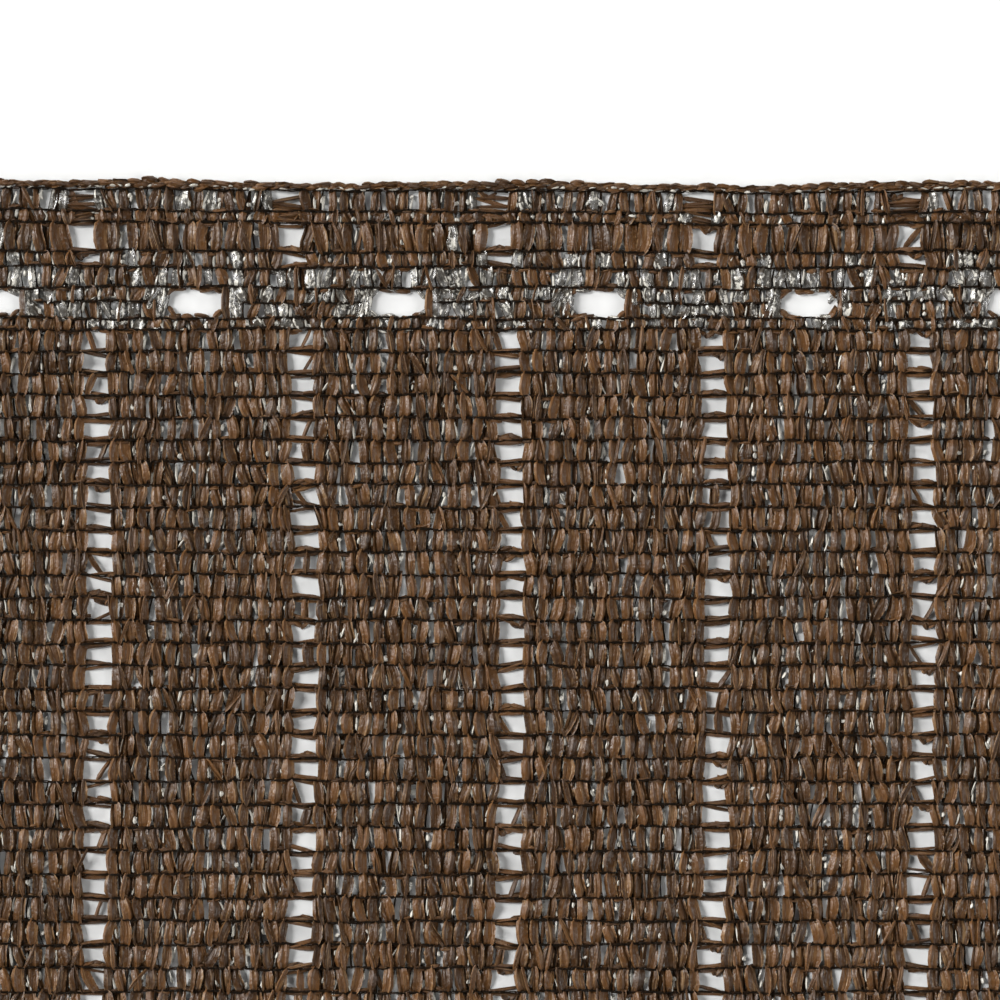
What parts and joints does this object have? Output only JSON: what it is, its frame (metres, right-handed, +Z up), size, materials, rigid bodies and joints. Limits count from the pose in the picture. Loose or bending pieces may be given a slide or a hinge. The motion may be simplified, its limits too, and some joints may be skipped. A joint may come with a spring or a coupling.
{
  "type": "knitted shade cloth",
  "caption": "Flat cut length of knitted tape shade cloth with raised rows, ladders of small windows and a selvedge of knitted-in slots.",
  "frame": {"origin": "under the middle of the cloth, on the surface that it lies on", "axes": "+Z up out of the cloth's face, +X along the selvedge, +Y across the cloth towards the selvedge"},
  "size_m": [0.2148, 0.1614, 0.0016],
  "materials": {
    "selvedge_tape": "brown and clear flat plastic tape, knitted, with glossy streaks",
    "field_tape": "brown flat plastic tape, knitted over near-black chain lines, satin with glossy streaks"
  },
  "bodies": {
    "root": {"selvedge_strip": "selvedge_tape", "knitted_field": "field_tape"}
  },
  "joints": []
}
